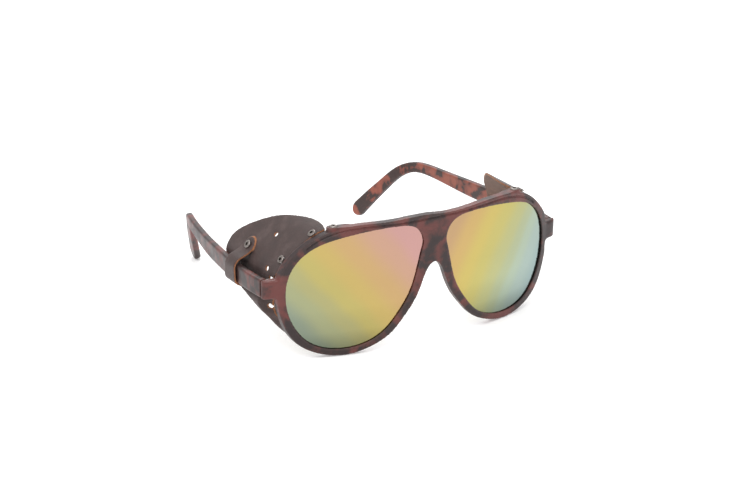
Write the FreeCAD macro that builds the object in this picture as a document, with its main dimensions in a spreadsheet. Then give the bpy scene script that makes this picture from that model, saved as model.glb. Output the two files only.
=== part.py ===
"""Glacier glasses: wrapped aviator front, mirrored lenses, hooked temples and leather side shields.

Everything is drawn in the bridge frame: the origin is on the front face at the middle of the bridge,
level with the hinges, +X to the wearer's left, +Y back along the temples and +Z up. Each sub-part's
Placement then moves it so that the rims and the temple tips stand on Z = 0. Millimetres throughout.
"""
import math
import os

import FreeCAD
import Part

Vector = FreeCAD.Vector
SIDES = {"left": 1, "right": -1}
FAR = 100.0

# ---------------------------------------------------------------- sizes

SIZES = {
    # where the bridge frame stands in the part's own frame
    "bridge_y": -70.804, "datum_z": 32.25,
    # the wrapped front: a tilted cylinder's wall
    "wrap_radius": 160.0, "face_tilt": 2.46, "front_depth": 3.4,
    # the lens and the groove that holds it
    "lens_setback": 0.9, "lens_thickness": 1.8, "lens_in_groove": 0.9, "groove_slack": 0.05,
    # the gutter along the brow
    "gutter_inset": 1.25, "gutter_width": 0.85, "gutter_depth": 0.6,
    # the brow lug and its rivet
    "lug_x": 42.2, "lug_y": 6.9, "lug_half_length": 5.4, "lug_half_width": 2.1,
    "lug_base_z": 22.9, "lug_top_z": 26.1, "lug_turn": 14.7,
    "brow_rivet_x": 44.6, "brow_rivet_y": 7.5, "brow_rivet_hole_depth": 2.4,
    # lips moulded behind the rim: nose bearings, and the lips that the shields are riveted to
    "bearing_depth": 4.3, "bearing_inset": 0.3, "bearing_width": 1.7,
    "lip_gap": 0.5, "lip_width": 1.0, "lip_depth": 7.0,
    # the endpiece
    "endpiece_inner_x": 63.9, "endpiece_outer_x": 72.9, "endpiece_rear_y": 18.6,
    "endpiece_corner": 3.2, "endpiece_corner_turn": 17.5, "endpiece_step": 0.3,
    "endpiece_low_z": -4.0, "endpiece_high_z": 4.3, "relief_gap": 0.5,
    # the hinge
    "hinge_x": 68.3, "hinge_y": 20.1, "hinge_z": 0.15, "barrel_radius": 1.5,
    "leaf_half_height": 2.4, "middle_half_height": 0.9, "knuckle_gap": 0.05,
    "front_leaf_thickness": 1.3, "front_leaf_depth": 3.0,
    "temple_leaf_inset": 0.25, "temple_leaf_thickness": 1.2, "temple_leaf_end_y": 26.0,
    "screw_radius": 0.6, "screw_slack": 0.03, "screw_head_radius": 1.15, "screw_head_height": 0.6,
    "screw_slot_width": 0.3, "screw_slot_depth": 0.25,
    # the temples
    "temple_thickness": 3.1, "temple_round": 0.95, "tip_round_share": 0.9,
    "temple_section_step": 3.5,
    "lift_left": 2.1, "lift_right": 0.0,
    # the leather
    "leather_thickness": 0.9, "leather_behind_rim": 0.15, "vent_radius": 1.0,
    "notch_inner_x": 62.0, "notch_rear_y": 18.9, "notch_low_z": -4.4, "notch_high_z": 4.7,
    "knuckle_notch_rear_y": 22.2, "knuckle_notch_low_z": -2.9, "knuckle_notch_high_z": 3.8,
    "strap_y": 44.0, "strap_half_width": 4.8, "tongue_radius": 4.1, "tongue_z": 9.6,
    "tongue_rise": 3.4, "strap_low_z": -6.3,
    # the hollow rivets
    "rivet_hole_radius": 0.75, "rivet_shank_radius": 1.1, "rivet_head_radius": 1.8,
    "rivet_head_height": 0.5, "rivet_tail_height": 0.3, "rivet_lift": 0.3, "rivet_play": 0.35,
    "strap_rivet_lift": 0.6,
}

# Points through which smooth outlines run, each (x, z) on the front seen square on.
LENS_EDGE = [(5.8, 12.5), (8.0, 3.4), (10.9, -6.6), (16.8, -16.5), (23.5, -23.8), (32.0, -28.0),
             (41.0, -29.1), (53.9, -25.5), (61.3, -15.8), (63.9, -3.0), (61.3, 9.0), (53.6, 17.2),
             (42.9, 21.0), (30.0, 22.9), (17.5, 23.2), (9.3, 21.2), (6.1, 16.8)]
# Half of the front's outline, from the brow at the middle round to the nose arch.
BROW_EDGE = [(0.0, 26.0), (21.0, 26.0), (42.0, 25.6), (50.2, 23.1), (57.3, 18.3), (62.0, 13.4),
             (64.9, 9.4)]
CHEEK_EDGE = [(66.5, 5.0), (67.2, 0.0), (67.1, -4.4), (66.6, -9.0), (65.5, -13.6), (64.0, -18.0),
              (61.9, -22.0), (58.9, -25.6), (54.6, -28.6), (47.6, -31.2), (38.0, -31.9),
              (28.0, -29.4), (20.0, -24.9)]
NOSE_EDGE = [(14.5, -18.9), (10.0, -12.9), (7.0, -7.1), (4.9, -1.5), (2.9, 2.3), (0.0, 4.3)]
# The shield's outer face seen from the front, and the strap's where it goes round the temple.
SHIELD_ARCH = [(39.0, 26.5), (47.0, 24.9), (52.7, 21.8), (57.3, 17.8), (60.7, 14.2), (63.7, 10.3),
               (65.8, 6.6), (67.0, 2.6), (67.1, -1.5), (68.2, -5.0), (70.1, -7.6), (69.9, -11.0),
               (67.4, -14.6), (64.8, -18.2), (61.0, -22.2)]
STRAP_WRAP = [(68.3, -5.8), (71.8, -5.7), (73.9, -4.0), (74.3, -0.5), (74.1, 3.4), (72.2, 6.0),
              (69.2, 7.3), (66.6, 8.6), (64.3, 10.8), (61.3, 14.8)]
# The shield's free edge: from above as (x, y), then its lower part from the side as (y, z).
SHIELD_PLAN = [(50.5, 4.0), (46.4, 12.0), (45.6, 19.0), (47.6, 28.8), (51.5, 39.2), (56.3, 48.2),
               (61.5, 56.9), (64.3, 60.2), (66.6, 61.4)]
SHIELD_SIDE = [(61.4, 2.6), (57.6, -2.6), (50.3, -6.0), (41.0, -7.7), (32.0, -9.7), (27.0, -11.9),
               (23.8, -14.6), (21.8, -17.8), (20.3, -20.8), (18.4, -23.0)]
# The temple's stations from root to tip, each its middle (x, y, z) and half its height there.
TEMPLE_STATIONS = [(71.35, 19.3, 0.15, 4.05), (71.35, 42.0, -0.4, 4.05), (69.15, 62.0, -0.85, 4.0),
                   (66.45, 80.0, -1.1, 3.6), (64.2, 92.0, -0.8, 3.0), (61.9, 103.0, -0.5, 2.6),
                   (58.9, 112.5, -1.3, 2.45), (55.3, 119.5, -5.2, 2.6), (51.5, 126.5, -13.0, 2.9),
                   (47.9, 132.5, -20.7, 3.3), (44.4, 138.2, -28.47, 3.7)]
# How far the rounded tip's own sections lie beyond the last station, as shares of its half height.
TIP_SHARES = [0.45, 0.78, 0.96]
# Hollow rivets and vent holes as (y, z) on the shield's outer face.
RIM_RIVETS = {"upper": (12.9, 22.6), "outer": (18.7, 11.4)}
VENTS = [(32.4, 17.2), (25.6, 5.9), (21.4, -9.4)]

doc = FreeCAD.newDocument("glacier_glasses")
sheet = doc.addObject("Spreadsheet::Sheet", "sizes")
for row, (alias, number) in enumerate(SIZES.items(), start=1):
    sheet.set(f"A{row}", alias)
    sheet.set(f"B{row}", str(number))
    sheet.setAlias(f"B{row}", alias)
doc.recompute()


def size(alias):
    return float(sheet.get(alias))


# ---------------------------------------------------------------- helpers

def spline(points, closed=False):
    """A smooth curve through the points."""
    curve = Part.BSplineCurve()
    curve.interpolate(Points=points, PeriodicFlag=closed)
    return curve


def shifted(points, distance, normal, closed=False):
    """The points moved sideways off their own smooth curve; plus is to the curve's right."""
    curve = spline(points, closed)
    moved = []
    for point in points:
        along = curve.tangent(curve.parameter(point))[0]
        moved.append(point + along.cross(normal) * distance)
    return moved


def front_points(pairs, side=1):
    return [Vector(side * x, 0, z) for x, z in pairs]


def ribbon(points, outer, inner, normal):
    """The flat strip between two curves shifted off the points."""
    first = shifted(points, outer, normal)
    second = shifted(points, inner, normal)
    edges = [spline(first).toShape(),
             Part.LineSegment(first[-1], second[-1]).toShape(),
             spline(second).toShape(),
             Part.LineSegment(second[0], first[0]).toShape()]
    return Part.Face(Part.Wire(Part.__sortEdges__(edges)))


def region(curve_points, corners):
    """The flat face between a smooth curve and the straight lines through the corners."""
    chain = [curve_points[-1]] + corners + [curve_points[0]]
    edges = [spline(curve_points).toShape()]
    edges += [Part.LineSegment(a, b).toShape() for a, b in zip(chain, chain[1:])]
    return Part.Face(Part.Wire(Part.__sortEdges__(edges)))


def plane_of(body, role):
    return next(f for f in body.Origin.OriginFeatures if f.Role == role)


def padded(name, role, curves, length):
    """A PartDesign body: one sketch of the curves, padded equally both ways."""
    body = doc.addObject("PartDesign::Body", name)
    sketch = body.newObject("Sketcher::SketchObject", name + "_sketch")
    sketch.AttachmentSupport = (plane_of(body, role), "")
    sketch.MapMode = "FlatFace"
    doc.recompute()
    to_sketch = sketch.Placement.inverse()
    for curve in curves:
        drawn = curve.copy()
        drawn.transform(to_sketch.toMatrix())
        sketch.addGeometry(drawn, False)
    pad = body.newObject("PartDesign::Pad", name + "_pad")
    pad.Profile = sketch
    pad.SideType = "Symmetric"
    pad.Length = length
    body.Tip = pad
    return body


def solid_of(name, shape):
    """A Part::Feature that holds a shape made from the sheet's sizes."""
    feature = doc.addObject("Part::Feature", name)
    feature.Shape = shape
    return feature


def combine(kind, name, first, *others):
    """A Part::Cut, Part::Common or Part::MultiFuse of document objects."""
    if kind == "Part::MultiFuse":
        result = doc.addObject(kind, name)
        result.Shapes = [first, *others]
        result.Refine = False
        return result
    tool = others[0]
    if len(others) > 1:
        tool = combine("Part::MultiFuse", name + "_tools", *others)
    result = doc.addObject(kind, name)
    result.Base = first
    result.Tool = tool
    return result


def wrap_cylinder(name, setback):
    """The solid behind the front's wrapped face, set back by a distance off that face."""
    tilt = math.radians(size("face_tilt"))
    axis = Vector(0, -math.sin(tilt), math.cos(tilt))
    cylinder = doc.addObject("Part::Cylinder", name)
    cylinder.setExpression("Radius", f"sizes.wrap_radius - ({setback})")
    cylinder.Height = 2 * FAR
    centre = Vector(0, size("wrap_radius"), 0)
    cylinder.Placement = FreeCAD.Placement(centre - axis * FAR, FreeCAD.Rotation(Vector(0, 0, 1), axis))
    return cylinder


def wrap_layer(name, front, back):
    """The layer of the wrapped front between two setbacks."""
    outer = wrap_cylinder(name + "_outer", front)
    inner = wrap_cylinder(name + "_inner", back)
    return combine("Part::Cut", name, outer, inner)


def wrap_y(x, z):
    """How far back the front's face is at (x, z)."""
    radius = size("wrap_radius")
    return radius - math.sqrt(radius ** 2 - x ** 2) - math.tan(math.radians(size("face_tilt"))) * z


nodes = {}
HOME = FreeCAD.Placement(Vector(0, size("bridge_y"), size("datum_z")), FreeCAD.Rotation())


def keep(node, feature):
    """Name a finished sub-part and set it in the part's own frame."""
    feature.Label = node
    feature.Placement = HOME * feature.Placement
    nodes[node] = feature


# ---------------------------------------------------------------- the front

def rim_opening(name, side, grow):
    edge = shifted(front_points(LENS_EDGE), -grow, Vector(0, 1, 0), closed=True)
    if side < 0:
        edge = [Vector(-p.x, p.y, p.z) for p in edge]
    return padded(name, "XZ_Plane", [spline(edge, closed=True)], FAR)


def outline_points():
    half = front_points(BROW_EDGE + CHEEK_EDGE + NOSE_EDGE)
    other = [Vector(-p.x, p.y, p.z) for p in half[-2:0:-1]]
    return half + other


def endpiece(side_name):
    """The block at the rim's outer side that wraps back to the temple."""
    side = SIDES[side_name]
    inner, outer = size("endpiece_inner_x"), size("endpiece_outer_x")
    rear, corner = size("endpiece_rear_y"), size("endpiece_corner")
    middle_z = (size("endpiece_low_z") + size("endpiece_high_z")) / 2
    round_x = outer - corner
    turn = math.radians(size("endpiece_corner_turn"))
    start = Vector(side * (round_x + corner * math.sin(turn)), rear - corner * math.cos(turn), 0)
    crest = Vector(side * (round_x + corner * math.sqrt(0.5)), rear - corner * math.sqrt(0.5), 0)
    spare = size("relief_gap")
    points = [start, Vector(side * inner, wrap_y(inner, middle_z) + size("endpiece_step"), 0),
              Vector(side * inner, rear + spare, 0), Vector(side * outer, rear + spare, 0),
              Vector(side * outer, rear, 0)]
    curves = [Part.LineSegment(a, b) for a, b in zip(points, points[1:])]
    curves.append(Part.Arc(points[-1], crest, points[0]))
    body = padded("endpiece_" + side_name, "XY_Plane", curves, 1.0)
    body.Tip.setExpression("Length", "sizes.endpiece_high_z - sizes.endpiece_low_z")
    tilt = FreeCAD.Rotation(Vector(1, 0, 0), size("face_tilt"))
    body.Placement = FreeCAD.Placement(Vector(0, 0, middle_z), tilt, Vector(0, rear, 0))
    return body


def hinge_relief(side_name):
    """The space behind the endpiece that the hinge and the temple's root turn in."""
    side = SIDES[side_name]
    relief = doc.addObject("Part::Box", "relief_" + side_name)
    relief.Length = FAR / 4
    relief.Width = FAR / 4
    relief.setExpression("Height", "sizes.endpiece_high_z - sizes.endpiece_low_z + 2 * sizes.relief_gap")
    start = "sizes.endpiece_inner_x" if side > 0 else f"-sizes.endpiece_inner_x - {FAR / 4}"
    relief.setExpression("Placement.Base.x", start)
    relief.setExpression("Placement.Base.y", "sizes.endpiece_rear_y")
    relief.setExpression("Placement.Base.z", "sizes.endpiece_low_z - sizes.relief_gap")
    return relief


def brow_lug(side_name):
    """The raised lug on the brow that carries the rivet."""
    side = SIDES[side_name]
    reach, wide = size("lug_half_length"), size("lug_half_width")
    straight = reach - wide
    curves = [Part.LineSegment(Vector(-straight, -wide, 0), Vector(straight, -wide, 0)),
              Part.Arc(Vector(straight, -wide, 0), Vector(reach, 0, 0), Vector(straight, wide, 0)),
              Part.LineSegment(Vector(straight, wide, 0), Vector(-straight, wide, 0)),
              Part.Arc(Vector(-straight, wide, 0), Vector(-reach, 0, 0), Vector(-straight, -wide, 0))]
    body = padded("lug_" + side_name, "XY_Plane", curves, 1.0)
    body.Tip.setExpression("Length", "sizes.lug_top_z - sizes.lug_base_z")
    middle = Vector(side * size("lug_x"), size("lug_y"), (size("lug_top_z") + size("lug_base_z")) / 2)
    body.Placement = FreeCAD.Placement(middle, FreeCAD.Rotation(Vector(0, 0, 1), side * size("lug_turn")))
    return body


def lip(name, side, edge, inset, width, depth):
    """A thin lip behind the rim that follows part of its outline."""
    strip = ribbon(front_points(edge), -inset, -inset - width, Vector(0, 1, 0))
    if side < 0:
        strip = strip.mirror(Vector(), Vector(1, 0, 0))
    wall = solid_of(name + "_wall", strip.extrude(Vector(0, FAR / 2, 0)))
    layer = wrap_layer(name + "_layer", "sizes.front_depth / 2", f"sizes.{depth}")
    return combine("Part::Common", name, wall, layer)


def shield_point(side_name, y, z):
    """A point on the shield's outer face, and the direction straight out of it."""
    side = SIDES[side_name]
    curve = spline(front_points(SHIELD_ARCH))
    level = Part.LineSegment(Vector(0, 0, z), Vector(FAR, 0, z))
    hit = curve.intersect(level)[0]
    here = Vector(hit.X, 0, hit.Z)
    out = curve.tangent(curve.parameter(here))[0].cross(Vector(0, 1, 0))
    return Vector(side * here.x, y, here.z), Vector(side * out.x, 0, out.z)


def rivet_hole(name, point, direction, radius, depth):
    """A drilling along a rivet's axis, from just outside the surface inwards."""
    start = point + direction * depth
    return solid_of(name, Part.makeCylinder(radius, 2 * depth, start, direction * -1))


def build_front():
    outline = padded("outline", "XZ_Plane", [spline(outline_points(), closed=True)], FAR)
    blank = combine("Part::Common", "blank", outline, wrap_layer("wall", "0", "sizes.front_depth"))
    adds = [blank]
    cuts = []
    groove_layer = wrap_layer("groove_layer", "sizes.lens_setback",
                              "sizes.lens_setback + sizes.lens_thickness")
    gutter_layer = wrap_layer("gutter_layer", "-1", "sizes.gutter_depth")
    half = BROW_EDGE[:5]
    brow = [Vector(-x, 0, z) for x, z in half[:0:-1]] + front_points(half)
    gutter_face = ribbon(brow, -size("gutter_inset"), -size("gutter_inset") - size("gutter_width"),
                         Vector(0, 1, 0))
    gutter_face.translate(Vector(0, -FAR / 4, 0))
    gutter_wall = solid_of("gutter_wall", gutter_face.extrude(Vector(0, FAR / 2, 0)))
    cuts.append(combine("Part::Common", "gutter", gutter_wall, gutter_layer))
    for side_name, side in SIDES.items():
        adds.append(endpiece(side_name))
        adds.append(brow_lug(side_name))
        adds.append(lip("bearing_" + side_name, side, NOSE_EDGE[:4], size("bearing_inset"),
                        size("bearing_width"), "bearing_depth"))
        adds.append(lip("shield_lip_" + side_name, side, SHIELD_ARCH[1:6],
                        size("leather_thickness") + size("lip_gap"), size("lip_width"), "lip_depth"))
        cuts.append(rim_opening("opening_" + side_name, side, 0))
        grow = size("lens_in_groove") + size("groove_slack")
        pocket = rim_opening("pocket_" + side_name, side, grow)
        cuts.append(combine("Part::Common", "groove_" + side_name, pocket, groove_layer))
        cuts.append(hinge_relief(side_name))
        cuts.append(doc.getObject("front_leaf_" + side_name))
        for where, (y, z) in RIM_RIVETS.items():
            point, out = shield_point(side_name, y, z)
            cuts.append(rivet_hole(f"lip_hole_{where}_{side_name}", point, out,
                                   size("rivet_shank_radius"), 4 * size("leather_thickness")))
        top = Vector(side * size("brow_rivet_x"), size("brow_rivet_y"), size("lug_top_z"))
        cuts.append(rivet_hole("lug_hole_" + side_name, top, Vector(0, 0, 1),
                               size("rivet_shank_radius"), size("brow_rivet_hole_depth")))
    solid = combine("Part::MultiFuse", "front_solid", *adds)
    keep("frame_front", combine("Part::Cut", "front_cut", solid, *cuts))


def build_lens(side_name):
    side = SIDES[side_name]
    outline = rim_opening("lens_outline_" + side_name, side, size("lens_in_groove"))
    layer = wrap_layer("lens_layer_" + side_name, "sizes.lens_setback",
                       "sizes.lens_setback + sizes.lens_thickness")
    keep("lens_" + side_name, combine("Part::Common", "lens_cut_" + side_name, outline, layer))


# ---------------------------------------------------------------- the hinges

def barrel(name, side, low, high, radius="sizes.barrel_radius"):
    """A round piece on the hinge's axis between two heights given as expressions."""
    piece = doc.addObject("Part::Cylinder", name)
    piece.setExpression("Radius", radius)
    piece.setExpression("Height", f"({high}) - ({low})")
    piece.setExpression("Placement.Base.x", f"{side} * sizes.hinge_x")
    piece.setExpression("Placement.Base.y", "sizes.hinge_y")
    piece.setExpression("Placement.Base.z", f"sizes.hinge_z + {low}")
    return piece


def block(name, side, low_x, high_x, low_y, high_y, half_height):
    """A box level with the hinge, its limits given as expressions."""
    piece = doc.addObject("Part::Box", name)
    piece.setExpression("Length", f"({high_x}) - ({low_x})")
    piece.setExpression("Width", f"({high_y}) - ({low_y})")
    piece.setExpression("Height", f"2 * ({half_height})")
    start = low_x if side > 0 else f"-({high_x})"
    piece.setExpression("Placement.Base.x", start)
    piece.setExpression("Placement.Base.y", low_y)
    piece.setExpression("Placement.Base.z", f"sizes.hinge_z - ({half_height})")
    return piece


def front_leaf(side_name):
    """The plate moulded into the endpiece, with the middle knuckle."""
    side = SIDES[side_name]
    knuckle = barrel("front_knuckle_" + side_name, side, "-sizes.middle_half_height",
                     "sizes.middle_half_height")
    half = "sizes.front_leaf_thickness / 2"
    plate = block("front_plate_" + side_name, side, f"sizes.hinge_x - {half}", f"sizes.hinge_x + {half}",
                  "sizes.endpiece_rear_y - sizes.front_leaf_depth", "sizes.endpiece_rear_y",
                  "sizes.leaf_half_height")
    neck = block("front_neck_" + side_name, side, f"sizes.hinge_x - {half}", f"sizes.hinge_x + {half}",
                 "sizes.endpiece_rear_y", "sizes.hinge_y", "sizes.middle_half_height")
    body = combine("Part::MultiFuse", "front_leaf_solid_" + side_name, knuckle, plate, neck)
    hole = barrel("front_hole_" + side_name, side, "-2 * sizes.leaf_half_height",
                  "2 * sizes.leaf_half_height", "sizes.screw_radius + sizes.screw_slack")
    return combine("Part::Cut", "front_leaf_" + side_name, body, hole)


def temple_leaf(side_name):
    """The plate moulded into the temple, with the upper and lower knuckles."""
    side = SIDES[side_name]
    gap = "sizes.middle_half_height + sizes.knuckle_gap"
    upper = barrel("upper_knuckle_" + side_name, side, gap, "sizes.leaf_half_height")
    lower = barrel("lower_knuckle_" + side_name, side, "-sizes.leaf_half_height", f"-({gap})")
    inner = "sizes.hinge_x + sizes.barrel_radius + sizes.temple_leaf_inset"
    plate = block("temple_plate_" + side_name, side, inner, f"{inner} + sizes.temple_leaf_thickness",
                  "sizes.hinge_y - sizes.barrel_radius / 3", "sizes.temple_leaf_end_y",
                  "sizes.leaf_half_height")
    arm = block("leaf_arm_" + side_name, side, "sizes.hinge_x", inner,
                "sizes.hinge_y", "sizes.hinge_y + sizes.barrel_radius", "sizes.leaf_half_height")
    slot = block("temple_arm_slot_" + side_name, side, "sizes.hinge_x - 2 * sizes.barrel_radius", inner,
                 "sizes.hinge_y - 2 * sizes.barrel_radius", "sizes.hinge_y + 2 * sizes.barrel_radius", gap)
    hole = barrel("temple_hole_" + side_name, side, "-2 * sizes.leaf_half_height",
                  "2 * sizes.leaf_half_height", "sizes.screw_radius")
    body = combine("Part::MultiFuse", "temple_leaf_solid_" + side_name, upper, lower, plate, arm)
    return combine("Part::Cut", "temple_leaf_" + side_name, body, slot, hole)


def hinge_screw(side_name):
    """The slotted screw that is the hinge's pin."""
    side = SIDES[side_name]
    shank = barrel("screw_shank_" + side_name, side, "-sizes.leaf_half_height", "sizes.leaf_half_height",
                   "sizes.screw_radius")
    head = barrel("screw_head_" + side_name, side, "sizes.leaf_half_height",
                  "sizes.leaf_half_height + sizes.screw_head_height", "sizes.screw_head_radius")
    slot = doc.addObject("Part::Box", "screw_slot_" + side_name)
    slot.setExpression("Length", "3 * sizes.screw_head_radius")
    slot.setExpression("Width", "sizes.screw_slot_width")
    slot.setExpression("Height", "sizes.screw_head_height")
    slot.setExpression("Placement.Base.x", f"{side} * sizes.hinge_x - 1.5 * sizes.screw_head_radius")
    slot.setExpression("Placement.Base.y", "sizes.hinge_y - sizes.screw_slot_width / 2")
    slot.setExpression("Placement.Base.z", "sizes.hinge_z + sizes.leaf_half_height"
                       " + sizes.screw_head_height - sizes.screw_slot_depth")
    body = combine("Part::MultiFuse", "screw_solid_" + side_name, shank, head)
    return combine("Part::Cut", "screw_" + side_name, body, slot)


# ---------------------------------------------------------------- the temples

def temple_section(middle, along, half):
    """A rounded rectangle square to the temple's run."""
    across = Vector(1, 0, 0)
    up = across.cross(along).normalize()
    across = along.cross(up).normalize()
    wide = size("temple_thickness") / 2
    bend = min(size("temple_round"), size("tip_round_share") * half)
    turn = bend * math.sqrt(0.5)

    def at(x, z):
        return middle + across * x + up * z

    edges = []
    last = at(wide, bend - half)
    for a, b in [(1, 1), (-1, 1), (-1, -1), (1, -1)]:
        x, z = a * (wide - bend), b * (half - bend)
        from_side, from_top = at(x + a * bend, z), at(x, z + b * bend)
        start, end = (from_side, from_top) if a * b > 0 else (from_top, from_side)
        edges.append(Part.LineSegment(last, start).toShape())
        edges.append(Part.Arc(start, at(x + a * turn, z + b * turn), end).toShape())
        last = end
    return Part.Wire(edges)


def temple_stations(side_name):
    """Evenly spaced stations along the temple, each its middle, its run and half its height."""
    path = spline([Vector(SIDES[side_name] * x, y, z) for x, y, z, half in TEMPLE_STATIONS])
    height = spline([Vector(y, half, 0) for x, y, z, half in TEMPLE_STATIONS])
    count = round(path.length() / size("temple_section_step"))
    stations = []
    for i in range(count + 1):
        where = path.parameterAtDistance(i * path.length() / count)
        middle = path.value(where)
        level = Part.LineSegment(Vector(middle.y, 0, 0), Vector(middle.y, FAR, 0))
        half = TEMPLE_STATIONS[-1][-1] if i == count else height.intersect(level)[0].Y
        run = Vector(0, 1, 0) if i == 0 else path.tangent(where)[0]
        stations.append((middle, run, half))
    tip, run, radius = stations[-1]
    for share in TIP_SHARES:
        stations.append((tip + run * (share * radius), run, radius * math.sqrt(1 - share ** 2)))
    hinge = Vector(0, size("hinge_y"), size("hinge_z"))
    lift = FreeCAD.Rotation(Vector(1, 0, 0), size("lift_" + side_name))
    place = FreeCAD.Placement(Vector(), lift, hinge)
    return [(place.multVec(middle), lift.multVec(run), half) for middle, run, half in stations]


def build_temple(side_name):
    """The arm and its ear hook, lofted through rounded sections."""
    wires = [temple_section(*station) for station in temple_stations(side_name)]
    arm = solid_of("temple_arm_" + side_name, Part.makeLoft(wires, True, True))
    cut = combine("Part::Cut", "temple_cut_" + side_name, arm, doc.getObject("temple_leaf_" + side_name))
    keep("temple_" + side_name, cut)


# ---------------------------------------------------------------- the leather shields

def build_shield(side_name):
    side = SIDES[side_name]
    thick = size("leather_thickness")
    back = Vector(0, FAR, 0)
    sheet_face = ribbon(front_points(SHIELD_ARCH), 0, -thick, Vector(0, 1, 0))
    leather = sheet_face.extrude(back)
    plan = region([Vector(x, y, -FAR) for x, y in SHIELD_PLAN],
                  [Vector(FAR, SHIELD_PLAN[-1][1], -FAR), Vector(FAR, 0, -FAR),
                   Vector(SHIELD_PLAN[0][0], 0, -FAR)])
    leather = leather.common(plan.extrude(Vector(0, 0, 2 * FAR)))
    edge = region([Vector(0, y, z) for y, z in SHIELD_SIDE],
                  [Vector(0, 0, SHIELD_SIDE[-1][1]), Vector(0, 0, FAR),
                   Vector(0, SHIELD_SIDE[0][0], FAR)])
    leather = leather.common(edge.extrude(Vector(FAR, 0, 0)))
    wrap = ribbon(front_points(STRAP_WRAP), 0, thick, Vector(0, 1, 0)).extrude(back)
    y, half, radius = size("strap_y"), size("strap_half_width"), size("tongue_radius")
    low, tongue = size("strap_low_z"), size("tongue_z")
    shoulder = tongue - radius
    form = [Part.LineSegment(Vector(0, y - half, low), Vector(0, y + half, low)),
            Part.LineSegment(Vector(0, y + half, low), Vector(0, y + radius, shoulder)),
            Part.LineSegment(Vector(0, y + radius, shoulder), Vector(0, y + radius, tongue)),
            Part.Arc(Vector(0, y + radius, tongue), Vector(0, y, tongue + size("tongue_rise")),
                     Vector(0, y - radius, tongue)),
            Part.LineSegment(Vector(0, y - radius, tongue), Vector(0, y - radius, shoulder)),
            Part.LineSegment(Vector(0, y - radius, shoulder), Vector(0, y - half, low))]
    tongue_form = Part.Face(Part.Wire(Part.__sortEdges__([c.toShape() for c in form])))
    leather = leather.fuse(wrap.common(tongue_form.extrude(Vector(FAR, 0, 0))))
    if side < 0:
        leather = leather.mirror(Vector(), Vector(1, 0, 0))
    rim = wrap_cylinder("rim_back_" + side_name, "sizes.front_depth + sizes.leather_behind_rim")
    doc.recompute()
    leather = leather.common(rim.Shape)
    start = size("notch_inner_x")
    for notch in ("notch", "knuckle_notch"):
        low, high = size(notch + "_low_z"), size(notch + "_high_z")
        room = Part.makeBox(FAR, size(notch + "_rear_y"), high - low, Vector(start, 0, low))
        if side < 0:
            room = room.mirror(Vector(), Vector(1, 0, 0))
        leather = leather.cut(room)
    drills = [(y, z, size("vent_radius")) for y, z in VENTS]
    play = size("rivet_shank_radius") + size("rivet_play")
    drills += [(y, z, play) for y, z in RIM_RIVETS.values()]
    drills.append((size("strap_y"), size("tongue_z"), size("rivet_shank_radius")))
    for y, z, radius in drills:
        point, out = shield_point(side_name, y, z)
        reach = 3 * thick
        leather = leather.cut(Part.makeCylinder(radius, 2 * reach, point + out * reach, out * -1))
    keep("side_shield_" + side_name, solid_of("shield_" + side_name, leather.removeSplitter()))


# ---------------------------------------------------------------- the rivets

def rivet(name, length, point, direction, node, blind=False):
    """A hollow rivet: a tube with a round head, its head's underside at the point."""
    hole, shank = size("rivet_hole_radius"), size("rivet_shank_radius")
    head, rise = size("rivet_head_radius"), size("rivet_head_height")
    tail = 0 if blind else size("rivet_tail_height")
    flare = shank if blind else (shank + head) / 2
    body = doc.addObject("PartDesign::Body", name)
    sketch = body.newObject("Sketcher::SketchObject", name + "_sketch")
    sketch.AttachmentSupport = (plane_of(body, "XZ_Plane"), "")
    sketch.MapMode = "FlatFace"
    doc.recompute()
    corners = [(hole, rise), (head - rise, rise), (head, 0), (shank, 0), (shank, -length)]
    if not blind:
        corners += [(flare, -length), (flare, -length - tail)]
    corners.append((hole, -length - tail))
    points = [Vector(x, z, 0) for x, z in corners]
    crown = Vector(head - rise * (1 - math.sqrt(0.5)), rise * math.sqrt(0.5), 0)
    sketch.addGeometry(Part.Arc(points[1], crown, points[2]), False)
    for a, b in zip(points, points[1:] + points[:1]):
        if a != points[1]:
            sketch.addGeometry(Part.LineSegment(a, b), False)
    turn = body.newObject("PartDesign::Revolution", name + "_turn")
    turn.Profile = sketch
    turn.ReferenceAxis = (sketch, ["V_Axis"])
    turn.Angle = 360
    body.Tip = turn
    body.Placement = FreeCAD.Placement(point, FreeCAD.Rotation(Vector(0, 0, 1), direction))
    keep(node, body)


def build_rivets(side_name):
    side = SIDES[side_name]
    thick, lift = size("leather_thickness"), size("rivet_lift")
    through = thick + size("lip_width") + 3 * lift
    for where, (y, z) in RIM_RIVETS.items():
        point, out = shield_point(side_name, y, z)
        rivet(f"{where}_rivet_{side_name}", through, point + out * lift, out,
              f"rim_rivet_{where}_{side_name}")
    point, out = shield_point(side_name, size("strap_y"), size("tongue_z"))
    strap_lift = size("strap_rivet_lift")
    rivet("tongue_rivet_" + side_name, 2 * thick + lift + strap_lift, point + out * (thick + strap_lift),
          out, "strap_rivet_" + side_name)
    top = Vector(side * size("brow_rivet_x"), size("brow_rivet_y"), size("lug_top_z"))
    rivet("lug_rivet_" + side_name, size("brow_rivet_hole_depth") - lift, top, Vector(0, 0, 1),
          "brow_rivet_" + side_name, blind=True)


# ---------------------------------------------------------------- assembly

for side_name in SIDES:
    front_leaf(side_name)
    temple_leaf(side_name)
build_front()
for side_name in SIDES:
    build_lens(side_name)
    build_temple(side_name)
    build_shield(side_name)
    build_rivets(side_name)
    keep("hinge_screw_" + side_name, hinge_screw(side_name))
    for owner in ("front", "temple"):
        leaf = doc.addObject("Part::Feature", f"{owner}_leaf_placed_{side_name}")
        doc.recompute()
        leaf.Shape = doc.getObject(f"{owner}_leaf_{side_name}").Shape
        keep(f"hinge_{owner}_{side_name}", leaf)
doc.recompute()

# ---------------------------------------------------------------- checks and files

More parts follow.
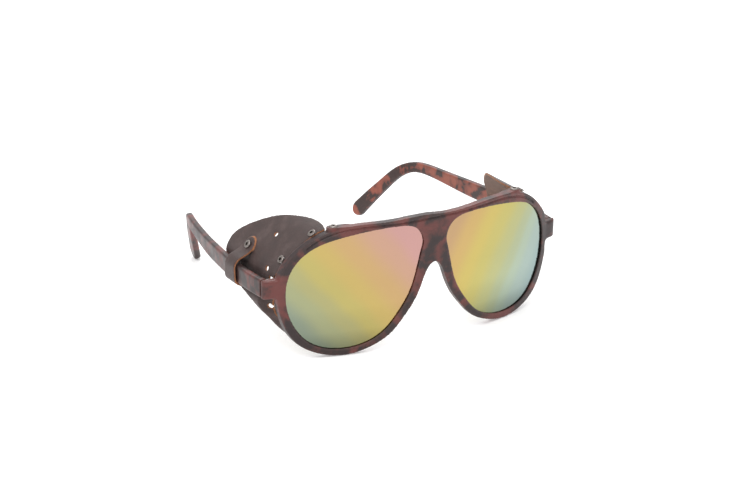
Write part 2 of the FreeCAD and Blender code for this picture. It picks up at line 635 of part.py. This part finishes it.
for item in doc.Objects:
    if "Invalid" in item.State or "Error" in item.State:
        raise RuntimeError(f"{item.Name} failed: {item.State}")
for node, feature in nodes.items():
    shape = feature.Shape
    if shape.isNull() or not shape.isValid():
        raise RuntimeError(f"{node} has no valid shape")
os.makedirs("parts", exist_ok=True)
for node, feature in nodes.items():
    feature.Shape.exportStep(f"parts/{node}.step")
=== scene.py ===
"""Glacier glasses: tortoiseshell front and temples, mirrored lenses, leather side shields."""

import math

import bmesh
import bpy
import numpy as np
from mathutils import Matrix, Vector
from mathutils.bvhtree import BVHTree

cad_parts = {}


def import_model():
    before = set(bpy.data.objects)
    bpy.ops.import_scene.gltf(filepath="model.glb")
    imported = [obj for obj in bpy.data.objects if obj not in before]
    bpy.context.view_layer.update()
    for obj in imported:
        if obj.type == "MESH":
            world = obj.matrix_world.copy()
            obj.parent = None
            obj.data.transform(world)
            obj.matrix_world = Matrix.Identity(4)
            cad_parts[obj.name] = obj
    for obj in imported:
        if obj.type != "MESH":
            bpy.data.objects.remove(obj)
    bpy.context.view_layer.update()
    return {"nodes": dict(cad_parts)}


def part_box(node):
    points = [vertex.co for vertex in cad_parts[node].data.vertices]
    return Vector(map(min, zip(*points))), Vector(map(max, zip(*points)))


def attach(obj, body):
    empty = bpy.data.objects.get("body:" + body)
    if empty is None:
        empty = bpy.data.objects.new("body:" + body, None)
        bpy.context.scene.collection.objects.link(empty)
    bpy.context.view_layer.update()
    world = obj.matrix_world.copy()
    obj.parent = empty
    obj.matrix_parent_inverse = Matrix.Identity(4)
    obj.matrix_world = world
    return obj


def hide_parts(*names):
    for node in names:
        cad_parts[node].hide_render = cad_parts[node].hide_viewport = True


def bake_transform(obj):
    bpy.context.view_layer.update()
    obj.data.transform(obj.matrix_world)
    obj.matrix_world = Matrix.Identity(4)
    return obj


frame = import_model()

MM = 0.001
SIDES = {"left": 1, "right": -1}


def middle(node):
    low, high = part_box(node)
    return (low + high) / 2


# The bridge frame that every shape below is given in, in millimetres. Its origin is on the front
# face at mid-bridge, and it is found from the two hinge screws, whose axes stand at HINGE_Y and
# whose lower ends are at SCREW_FOOT_Z in it.
HINGE_Y = 20.1
SCREW_FOOT_Z = -2.25
screws = [middle("hinge_screw_" + side) for side in SIDES]
BRIDGE = Vector(((screws[0].x + screws[1].x) / 2, screws[0].y - HINGE_Y * MM,
                 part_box("hinge_screw_left")[0].z - SCREW_FOOT_Z * MM))


def world(x, y, z):
    return BRIDGE + Vector((x, y, z)) * MM


# ---------------------------------------------------------------- meshes

def coordinates(mesh):
    co = np.empty(len(mesh.vertices) * 3)
    mesh.vertices.foreach_get("co", co)
    return co.reshape(-1, 3)


def set_coordinates(mesh, co):
    mesh.vertices.foreach_set("co", co.ravel())
    mesh.update()


def vertex_normals(mesh):
    normals = np.empty(len(mesh.vertices) * 3)
    mesh.vertices.foreach_get("normal", normals)
    return normals.reshape(-1, 3)


def edge_ends(mesh):
    """The vertex at one end of each edge, and the vertex at its other end."""
    pairs = np.empty(len(mesh.edges) * 2, np.int64)
    mesh.edges.foreach_get("vertices", pairs)
    return pairs.reshape(-1, 2).T


def attribute(mesh, name, values, kind="FLOAT"):
    layer = mesh.attributes.new(name, kind, "POINT")
    layer.data.foreach_set("vector" if kind == "FLOAT_VECTOR" else "value",
                           np.asarray(values, np.float32).ravel())


def bridge_mm(mesh):
    return (coordinates(mesh) - np.array(BRIDGE)) / MM


def welded(node):
    """The node's own mesh with its faces joined up, as a bmesh."""
    bm = bmesh.new()
    bm.from_mesh(frame["nodes"][node].data)
    bmesh.ops.remove_doubles(bm, verts=bm.verts, dist=1e-6)
    return bm


def moulded(node, name, voxel, rounds):
    """A finely meshed copy of a node with its sharp edges softened; it replaces the node."""
    bm = welded(node)
    mesh = bpy.data.meshes.new(name)
    bm.to_mesh(mesh)
    bm.free()
    obj = bpy.data.objects.new(name, mesh)
    bpy.context.scene.collection.objects.link(obj)
    remesh = obj.modifiers.new("remesh", "REMESH")
    remesh.mode = "VOXEL"
    remesh.voxel_size = voxel * MM
    soften = obj.modifiers.new("soften", "SMOOTH")
    soften.factor = 0.5
    soften.iterations = rounds
    bpy.context.view_layer.update()
    evaluated = obj.evaluated_get(bpy.context.evaluated_depsgraph_get())
    final = bpy.data.meshes.new_from_object(evaluated)
    obj.modifiers.clear()
    obj.data = final
    obj.data.name = name
    final.materials.clear()
    final.polygons.foreach_set("use_smooth", [True] * len(final.polygons))
    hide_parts(node)
    return obj


WEAR_GAIN = 5.0


def edge_wear(mesh, spread):
    """How convex the surface is at each vertex, from 0 on flats to 1 on worn edges."""
    co = coordinates(mesh)
    normals = vertex_normals(mesh)
    a, b = edge_ends(mesh)
    step = co[b] - co[a]
    length = np.linalg.norm(step, axis=1) + 1e-9
    bend = np.zeros(len(co))
    count = np.zeros(len(co))
    np.add.at(bend, a, -(step * normals[a]).sum(1) / length)
    np.add.at(bend, b, (step * normals[b]).sum(1) / length)
    np.add.at(count, a, 1)
    np.add.at(count, b, 1)
    bend /= np.maximum(count, 1)
    for _ in range(spread):
        total = bend.copy()
        np.add.at(total, a, bend[b])
        np.add.at(total, b, bend[a])
        bend = total / (count + 1)
    return np.clip(bend * WEAR_GAIN, 0, 1)


# ---------------------------------------------------------------- materials

def material(name):
    mat = bpy.data.materials.new(name)
    mat.use_nodes = True
    tree = mat.node_tree
    return mat, tree, tree.nodes["Principled BSDF"]


def add(tree, kind, inputs=None, **settings):
    """A node with its settings and its inputs, each a value or another node's output."""
    made = tree.nodes.new(kind)
    for key, value in settings.items():
        setattr(made, key, value)
    for key, value in (inputs or {}).items():
        if isinstance(value, bpy.types.NodeSocket):
            tree.links.new(value, made.inputs[key])
        else:
            made.inputs[key].default_value = value
    return made


def ramp(tree, factor, stops, interpolation="LINEAR"):
    made = add(tree, "ShaderNodeValToRGB", {"Fac": factor})
    made.color_ramp.interpolation = interpolation
    elements = made.color_ramp.elements
    while len(elements) < len(stops):
        elements.new(0.5)
    for element, (place, colour) in zip(elements, stops):
        element.position = place
        element.color = (*colour, 1.0)
    return made.outputs["Color"]


def maths(tree, operation, a, b, clamp=False):
    made = add(tree, "ShaderNodeMath", {0: a, 1: b}, operation=operation, use_clamp=clamp)
    return made.outputs[0]


def mixed(tree, factor, a, b, blend="MIX"):
    made = add(tree, "ShaderNodeMix", data_type="RGBA", blend_type=blend)
    for socket, value in (("Factor", factor), ("A", a), ("B", b)):
        inputs = [i for i in made.inputs if i.name == socket and i.enabled]
        if isinstance(value, bpy.types.NodeSocket):
            tree.links.new(value, inputs[0])
        elif isinstance(value, tuple):
            inputs[0].default_value = (*value, 1.0)
        else:
            inputs[0].default_value = value
    return next(o for o in made.outputs if o.enabled)


def ranged(tree, value, from_low, from_high, to_low, to_high):
    made = add(tree, "ShaderNodeMapRange", {"Value": value, "From Min": from_low, "From Max": from_high,
                                            "To Min": to_low, "To Max": to_high})
    return made.outputs["Result"]


def stored(tree, name, output="Fac"):
    return add(tree, "ShaderNodeAttribute", attribute_name=name).outputs[output]


def object_place(tree):
    return add(tree, "ShaderNodeTexCoord").outputs["Object"]


def bumped(tree, shader, height, strength, distance):
    made = add(tree, "ShaderNodeBump", {"Height": height, "Strength": strength, "Distance": distance * MM})
    tree.links.new(made.outputs["Normal"], shader.inputs["Normal"])


def clouds(tree, where, scale, detail=3.0, roughness=0.5, distortion=0.0):
    made = add(tree, "ShaderNodeTexNoise", {"Vector": where, "Scale": scale, "Detail": detail,
                                            "Roughness": roughness, "Distortion": distortion})
    return made.outputs["Fac"]


def tortoiseshell():
    """Moulded nylon: near-black brown with red-brown clouds, orange on the temples' inner faces."""
    mat, tree, shader = material("tortoiseshell")
    where = stored(tree, "rest", "Vector")
    inner = stored(tree, "inner")
    patches = clouds(tree, where, scale=0.105, detail=2.0, roughness=0.45, distortion=0.6)
    specks = clouds(tree, where, scale=0.30, detail=3.0, roughness=0.6, distortion=0.4)
    field = maths(tree, "ADD", maths(tree, "MULTIPLY", patches, 0.74),
                  maths(tree, "MULTIPLY", specks, 0.26))
    field = maths(tree, "ADD", field, maths(tree, "MULTIPLY", inner, 0.012))
    outside = ramp(tree, field, [(0.0, (0.016, 0.010, 0.010)), (0.455, (0.026, 0.013, 0.013)),
                                 (0.51, (0.066, 0.021, 0.018)), (0.585, (0.118, 0.029, 0.025)),
                                 (1.0, (0.150, 0.038, 0.032))])
    inside = ramp(tree, field, [(0.0, (0.024, 0.015, 0.014)), (0.485, (0.040, 0.020, 0.017)),
                                (0.51, (0.15, 0.042, 0.029)), (0.58, (0.25, 0.068, 0.042)),
                                (1.0, (0.29, 0.082, 0.052))])
    colour = mixed(tree, inner, outside, inside)
    worn = maths(tree, "MULTIPLY", stored(tree, "edge"), clouds(tree, where, scale=0.9, detail=2.0),
                 clamp=True)
    colour = mixed(tree, maths(tree, "MULTIPLY", worn, 0.35), colour, (0.20, 0.13, 0.115))
    tree.links.new(colour, shader.inputs["Base Color"])
    haze = clouds(tree, where, scale=0.25, detail=4.0, roughness=0.6)
    tree.links.new(ranged(tree, haze, 0.3, 0.7, 0.30, 0.46), shader.inputs["Roughness"])
    shader.inputs["Specular IOR Level"].default_value = 0.38
    shader.inputs["Coat Weight"].default_value = 0.05
    shader.inputs["Coat Roughness"].default_value = 0.22
    grain = clouds(tree, where, scale=2.6, detail=4.0, roughness=0.6)
    bumped(tree, shader, grain, strength=0.10, distance=0.12)
    return mat


# Each mirror's colour, its coating's tint with a painted reflection of its surroundings, runs along a
# line turned by this angle from +X towards +Z, and has these colours at these distances along it, in
# millimetres from the bridge frame's origin.
MIRROR_TURN = {"left": 150.0, "right": 40.0}
MIRROR_TINT_AND_REFLECTION_STOPS = {
    "left": [(-60, (0.33, 0.44, 0.43)), (-51, (0.40, 0.50, 0.45)), (-45, (0.44, 0.53, 0.41)),
             (-40, (0.46, 0.51, 0.32)), (-34, (0.52, 0.52, 0.25)), (-25, (0.60, 0.53, 0.185)),
             (-18, (0.66, 0.53, 0.17)), (-8, (0.665, 0.46, 0.185)), (0, (0.60, 0.39, 0.21))],
    "right": [(-56, (0.30, 0.355, 0.27)), (-48, (0.42, 0.44, 0.25)), (-42, (0.48, 0.455, 0.215)),
              (-36, (0.565, 0.485, 0.175)), (-28, (0.63, 0.475, 0.17)), (-19, (0.645, 0.43, 0.20)),
              (-8, (0.645, 0.39, 0.28)), (0, (0.65, 0.37, 0.34))],
}
# Painted shade on the mirrors: how bright they are, at shares of the height from LENS_LOW to LENS_HIGH,
# darkest at the lower edge.
MIRROR_SHADE_LEVELS = [(0.0, 0.47), (0.15, 0.72), (0.35, 0.77), (0.55, 0.72), (1.0, 0.69)]
LENS_LOW, LENS_HIGH = -29.0, 23.0
HUE_DRIFT = 4.0


def mirror(side_name):
    """A multilayer mirror whose colour, its tint with a painted reflection, drifts across the lens, with
    painted shade towards its lower edge.
    """
    mat, tree, shader = material("mirror_" + side_name)
    here = object_place(tree)
    turn, stops = math.radians(MIRROR_TURN[side_name]), MIRROR_TINT_AND_REFLECTION_STOPS[side_name]
    run = Vector((math.cos(turn), 0, math.sin(turn)))
    along = add(tree, "ShaderNodeVectorMath", {0: here, 1: tuple(run)}, operation="DOT_PRODUCT")
    drift = maths(tree, "SUBTRACT", clouds(tree, here, scale=45.0, detail=1.0), 0.5)
    along = maths(tree, "ADD", along.outputs["Value"], maths(tree, "MULTIPLY", drift, HUE_DRIFT * MM))
    start, end = stops[0][0], stops[-1][0]
    offset = BRIDGE.dot(run)
    share = ranged(tree, along, offset + start * MM, offset + end * MM, 0.0, 1.0)
    # Painted reflection: the ramp's colours are the coating's tint mixed with the surroundings it
    # reflects.
    colour = ramp(tree, share, [((u - start) / (end - start), rgb) for u, rgb in stops], "EASE")
    # Painted shade: the mirror is darkened towards its lower edge.
    height = add(tree, "ShaderNodeSeparateXYZ", {"Vector": here}).outputs["Z"]
    height = ranged(tree, height, BRIDGE.z + LENS_LOW * MM, BRIDGE.z + LENS_HIGH * MM, 0.0, 1.0)
    painted_shade = ramp(tree, height, [(place, (level,) * 3) for place, level in MIRROR_SHADE_LEVELS])
    colour = mixed(tree, 1.0, colour, painted_shade, "MULTIPLY")
    tree.links.new(colour, shader.inputs["Base Color"])
    shader.inputs["Metallic"].default_value = 1.0
    smear = clouds(tree, here, scale=160.0, detail=5.0, roughness=0.65, distortion=0.6)
    tree.links.new(ranged(tree, smear, 0.35, 0.75, 0.10, 0.19), shader.inputs["Roughness"])
    ripple = clouds(tree, here, scale=70.0, detail=1.0)
    bumped(tree, shader, ripple, strength=0.05, distance=0.10)
    return mat


def leather():
    """Full-grain leather outside, suede inside, tan where it is cut."""
    mat, tree, shader = material("leather")
    where = stored(tree, "rest", "Vector")
    inside = stored(tree, "inside")
    cut = stored(tree, "cut")
    mottle = clouds(tree, where, scale=0.16, detail=4.0, roughness=0.6)
    fine = clouds(tree, where, scale=3.2, detail=3.0, roughness=0.7)
    grain = ramp(tree, mottle, [(0.25, (0.031, 0.016, 0.014)), (0.5, (0.050, 0.027, 0.024)),
                                (0.72, (0.088, 0.056, 0.052))])
    grain = mixed(tree, maths(tree, "MULTIPLY", fine, 0.35), grain, (0.024, 0.013, 0.012))
    nap = clouds(tree, where, scale=0.9, detail=5.0, roughness=0.75)
    suede = ramp(tree, nap, [(0.25, (0.085, 0.045, 0.032)), (0.55, (0.150, 0.082, 0.058)),
                             (0.8, (0.215, 0.125, 0.090))])
    colour = mixed(tree, inside, grain, suede)
    fibre = clouds(tree, where, scale=1.4, detail=4.0, roughness=0.7)
    tan = ramp(tree, fibre, [(0.3, (0.17, 0.068, 0.034)), (0.7, (0.40, 0.165, 0.070))])
    colour = mixed(tree, cut, colour, tan)
    tree.links.new(colour, shader.inputs["Base Color"])
    soft = maths(tree, "MAXIMUM", inside, cut)
    rough = maths(tree, "ADD", ranged(tree, mottle, 0.3, 0.7, 0.42, 0.56),
                  maths(tree, "MULTIPLY", soft, 0.4), clamp=True)
    tree.links.new(rough, shader.inputs["Roughness"])
    shader.inputs["Specular IOR Level"].default_value = 0.32
    shader.inputs["Sheen Weight"].default_value = 0.12
    shader.inputs["Sheen Roughness"].default_value = 0.45
    cells = add(tree, "ShaderNodeTexVoronoi", {"Vector": where, "Scale": 1.5, "Randomness": 1.0},
                feature="DISTANCE_TO_EDGE").outputs["Distance"]
    pores = maths(tree, "MINIMUM", cells, 0.25)
    height = maths(tree, "ADD", maths(tree, "MULTIPLY", pores, 1.6), maths(tree, "MULTIPLY", fine, 0.5))
    bumped(tree, shader, height, strength=0.55, distance=0.14)
    return mat


def rivet_metal():
    """Nickel plate with dull, dark blotches."""
    mat, tree, shader = material("rivet_metal")
    here = object_place(tree)
    tarnish = clouds(tree, here, scale=900.0, detail=4.0, roughness=0.65)
    colour = ramp(tree, tarnish, [(0.3, (0.12, 0.10, 0.09)), (0.55, (0.26, 0.23, 0.215)),
                                  (0.8, (0.40, 0.37, 0.35))])
    tree.links.new(colour, shader.inputs["Base Color"])
    shader.inputs["Metallic"].default_value = 1.0
    tree.links.new(ranged(tree, tarnish, 0.3, 0.7, 0.50, 0.34), shader.inputs["Roughness"])
    pits = clouds(tree, here, scale=2600.0, detail=3.0)
    bumped(tree, shader, pits, strength=0.25, distance=0.05)
    return mat


def hinge_steel():
    """Bright steel with turning marks."""
    mat, tree, shader = material("hinge_steel")
    here = object_place(tree)
    stretched = add(tree, "ShaderNodeMapping", {"Vector": here, "Scale": (400.0, 400.0, 6000.0)})
    brushed = clouds(tree, stretched.outputs["Vector"], scale=1.0, detail=3.0, roughness=0.6)
    colour = ramp(tree, brushed, [(0.3, (0.34, 0.33, 0.32)), (0.7, (0.60, 0.59, 0.57))])
    tree.links.new(colour, shader.inputs["Base Color"])
    shader.inputs["Metallic"].default_value = 1.0
    tree.links.new(ranged(tree, brushed, 0.3, 0.7, 0.22, 0.38), shader.inputs["Roughness"])
    bumped(tree, shader, brushed, strength=0.2, distance=0.03)
    return mat


def painted(obj, mat):
    obj.data.materials.clear()
    obj.data.materials.append(mat)


TORTOISESHELL = tortoiseshell()
LEATHER = leather()
RIVET_METAL = rivet_metal()
HINGE_STEEL = hinge_steel()
for node, obj in frame["nodes"].items():
    if "rivet" in node:
        painted(obj, RIVET_METAL)
    elif "hinge" in node:
        painted(obj, HINGE_STEEL)
    elif "lens" in node:
        painted(obj, mirror(node.split("_")[1]))
    elif "shield" in node:
        painted(obj, LEATHER)
    else:
        painted(obj, TORTOISESHELL)

# ---------------------------------------------------------------- the front and the temples

def softened(mesh, weights, rounds):
    """Smooth the vertices that have a weight, which rounds corners and fills in hollows."""
    co = coordinates(mesh)
    a, b = edge_ends(mesh)
    a, b = np.concatenate([a, b]), np.concatenate([b, a])
    used = weights[a] > 0
    a, b = a[used], b[used]
    count = np.maximum(np.bincount(a, minlength=len(co)), 1)
    for _ in range(rounds):
        mean = np.stack([np.bincount(a, co[b, i], len(co)) for i in range(3)], 1) / count[:, None]
        co += 0.5 * weights[:, None] * (mean - co)
    set_coordinates(mesh, co)


# An endpiece is further out than this x, and nearer to the bridge frame's origin than this y and z.
# The softening rises from nothing to all of it over the fade's distance in each direction.
ENDPIECE = (64.0, 17.6, 9.0)
ENDPIECE_FADE = (2.5, 2.0, 3.0)

front = moulded("frame_front", "front_moulding", voxel=0.3, rounds=3)
x, y, z = np.abs(bridge_mm(front.data)).T
at_endpiece = (np.clip((x - ENDPIECE[0]) / ENDPIECE_FADE[0], 0, 1)
               * np.clip((ENDPIECE[1] - y) / ENDPIECE_FADE[1], 0, 1)
               * np.clip((ENDPIECE[2] - z) / ENDPIECE_FADE[2], 0, 1))
softened(front.data, at_endpiece, rounds=45)
place = bridge_mm(front.data)
attribute(front.data, "rest", place, "FLOAT_VECTOR")
attribute(front.data, "inner", np.zeros(len(place)))
attribute(front.data, "edge", edge_wear(front.data, spread=2))
painted(front, TORTOISESHELL)
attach(front, "front")

# A temple's surface counts as its inner face once its normal leans inwards by more than
# INNER_FROM, and wholly so INNER_FADE later.
INNER_FROM, INNER_FADE = 0.1, 0.4

for side_name, side in SIDES.items():
    temple = moulded("temple_" + side_name, "temple_moulding_" + side_name, voxel=0.3, rounds=4)
    facing = -side * vertex_normals(temple.data)[:, 0]
    attribute(temple.data, "rest", bridge_mm(temple.data), "FLOAT_VECTOR")
    attribute(temple.data, "inner", np.clip((facing - INNER_FROM) / INNER_FADE, 0, 1))
    attribute(temple.data, "edge", edge_wear(temple.data, spread=2))
    painted(temple, TORTOISESHELL)
    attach(temple, "temple_" + side_name)

# ---------------------------------------------------------------- the leather shields

# The shield's and the strap's outer faces seen from the front, as (x, z) in the bridge frame, and
# the stretch of y that the strap takes up.
ARCH = np.array([(39, 26.5), (47, 24.9), (52.7, 21.8), (57.3, 17.8), (60.7, 14.2), (63.7, 10.3),
                 (65.8, 6.6), (67, 2.6), (67.1, -1.5), (68.2, -5), (70.1, -7.6), (69.9, -11),
                 (67.4, -14.6), (64.8, -18.2), (61, -22.2)])
STRAP = np.array([(68.3, -5.8), (71.8, -5.7), (73.9, -4), (74.3, -0.5), (74.1, 3.4), (72.2, 6),
                  (69.2, 7.3), (66.6, 8.6), (64.3, 10.8), (61.3, 14.8)])[::-1]
STRAP_Y = (38.9, 49.2)


def outward(points, curve):
    """The distance to a curve and the way out of it, for points seen from the front."""
    starts, ends = curve[:-1], curve[1:]
    run = ends - starts
    share = ((points[:, None] - starts) * run).sum(2) / (run ** 2).sum(1)
    near = starts + np.clip(share, 0, 1)[..., None] * run
    gap = np.linalg.norm(points[:, None] - near, axis=2)
    best = gap.argmin(1)
    way = np.stack([-run[:, 1], run[:, 0]], 1)
    way /= np.linalg.norm(way, axis=1)[:, None]
    return gap.min(1), way[best]


def leather_facing(mesh, node, side):
    """Which way the leather faces at each vertex: 1 on its outer face, -1 on its inner face and
    near 0 on its cut edges."""
    bm = welded(node)
    tree = BVHTree.FromBMesh(bm)
    co = coordinates(mesh)
    normals = np.array([tree.find_nearest(Vector(p))[1] for p in co])
    bm.free()
    place = (co - np.array(BRIDGE)) / MM * (side, 1, 1)
    flat = place[:, [0, 2]]
    arch_gap, arch_way = outward(flat, ARCH)
    strap_gap, strap_way = outward(flat, STRAP)
    on_strap = (strap_gap < arch_gap) & (place[:, 1] > STRAP_Y[0]) & (place[:, 1] < STRAP_Y[1])
    way = np.where(on_strap[:, None], strap_way, arch_way)
    return side * normals[:, 0] * way[:, 0] + normals[:, 2] * way[:, 1]


# The rim behind which the leather's lower front edge is tucked: its outer edge as (x, z), and the
# tilted cylinder that its back lies on, which is followed as far out as RIM_END.
CHEEK = np.array([(67.1, -4.4), (66.6, -9), (65.5, -13.6), (64, -18), (61.9, -22)])
WRAP_CENTRE, RIM_BACK, RIM_END = 160.0, 156.45, 67.0
FACE_TILT = math.tan(math.radians(2.46))
# How far behind the rim the tuck reaches, as (depth below the bridge frame's origin, reach).
TUCK_REACH = [(9.0, 8.0), (15.0, 3.2)]
# The depth at which the tuck begins, the depth over which it grows, and how far inside the rim's
# outer edge it draws the leather.
TUCK_FROM, TUCK_FADE, TUCK_INSIDE = 3.0, 3.5, 0.5


def smooth(values):
    values = np.clip(values, 0, 1)
    return values * values * (3 - 2 * values)


def tucked(mesh, side):
    """Draw the leather below the endpiece in behind the rim."""
    place = bridge_mm(mesh) * (side, 1, 1)
    x, y, z = place.T
    rim_back = WRAP_CENTRE - np.sqrt(RIM_BACK ** 2 - np.minimum(x, RIM_END) ** 2) - z * FACE_TILT
    near = smooth(1 - (y - rim_back) / np.interp(-z, *np.array(TUCK_REACH).T))
    low = smooth((-z - TUCK_FROM) / TUCK_FADE)
    proud = np.interp(-z, -ARCH[:, 1], ARCH[:, 0]) - np.interp(-z, -CHEEK[:, 1], CHEEK[:, 0])
    x -= np.maximum(proud + TUCK_INSIDE, 0) * near * low
    set_coordinates(mesh, place * (side, 1, 1) * MM + np.array(BRIDGE))


# The suede side and the tan cut edges, by which way the leather faces: where each begins and the
# range over which it takes over.
SUEDE_FROM, SUEDE_FADE = 0.3, 0.3
CUT_FROM, CUT_FADE = 0.80, 0.15

for side_name, side in SIDES.items():
    node = "side_shield_" + side_name
    shield = moulded(node, "leather_shield_" + side_name, voxel=0.28, rounds=3)
    mesh = shield.data
    facing = leather_facing(mesh, node, side)
    attribute(mesh, "rest", bridge_mm(mesh), "FLOAT_VECTOR")
    attribute(mesh, "inside", np.clip((-facing - SUEDE_FROM) / SUEDE_FADE, 0, 1))
    attribute(mesh, "cut", np.clip((CUT_FROM - np.abs(facing)) / CUT_FADE, 0, 1))
    tucked(mesh, side)
    painted(shield, LEATHER)
    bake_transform(shield)

# ---------------------------------------------------------------- floor, light and camera

scene = bpy.context.scene
bpy.ops.mesh.primitive_plane_add(size=6.0)
floor = bpy.context.object
floor.name = "floor"
mat, tree, shader = material("pale_glowing_floor")
speckle = clouds(tree, object_place(tree), scale=30.0, detail=2.0)
tree.links.new(ramp(tree, speckle, [(0.3, (0.86, 0.86, 0.86)), (0.7, (0.88, 0.88, 0.88))]),
               shader.inputs["Base Color"])
shader.inputs["Roughness"].default_value = 0.9
shader.inputs["Specular IOR Level"].default_value = 0.1
# Painted light: the floor glows faintly, which lifts the shadows on it and lights the glasses from below.
shader.inputs["Emission Color"].default_value = (1.0, 1.0, 1.0, 1.0)
shader.inputs["Emission Strength"].default_value = 0.22
painted(floor, mat)

studio = bpy.data.worlds.new("studio")
studio.use_nodes = True
background = studio.node_tree.nodes["Background"]
background.inputs["Color"].default_value = (1.0, 1.0, 1.0, 1.0)
background.inputs["Strength"].default_value = 0.95
scene.world = studio


def softbox(name, place, width, power):
    """A square light that faces the middle of the view."""
    light = bpy.data.lights.new(name, "AREA")
    light.shape = "SQUARE"
    light.size = width
    light.energy = power
    obj = bpy.data.objects.new(name, light)
    obj.location = place
    obj.rotation_euler = (centre - place).to_track_quat("-Z", "Y").to_euler()
    scene.collection.objects.link(obj)


centre = world(0, 40.0, -0.9)
softbox("key", centre + Vector((-0.35, -0.25, 0.9)), width=0.8, power=5.0)
softbox("back", centre + Vector((0.3, 0.6, 0.7)), width=0.6, power=3.0)

azimuth, elevation, distance = math.radians(-30.83), math.radians(21.10), 1.00025
camera = bpy.data.objects.new("camera", bpy.data.cameras.new("camera"))
scene.collection.objects.link(camera)
away = Vector((math.sin(azimuth) * math.cos(elevation), -math.cos(azimuth) * math.cos(elevation),
               math.sin(elevation)))
camera.location = centre + away * distance
camera.rotation_euler = (-away).to_track_quat("-Z", "Y").to_euler()
camera.data.lens = 110.45
camera.data.sensor_width = 36.0
camera.data.shift_x = -0.0145
camera.data.shift_y = -0.0089
camera.data.clip_start = 0.01
scene.camera = camera
scene.view_settings.view_transform = "Standard"
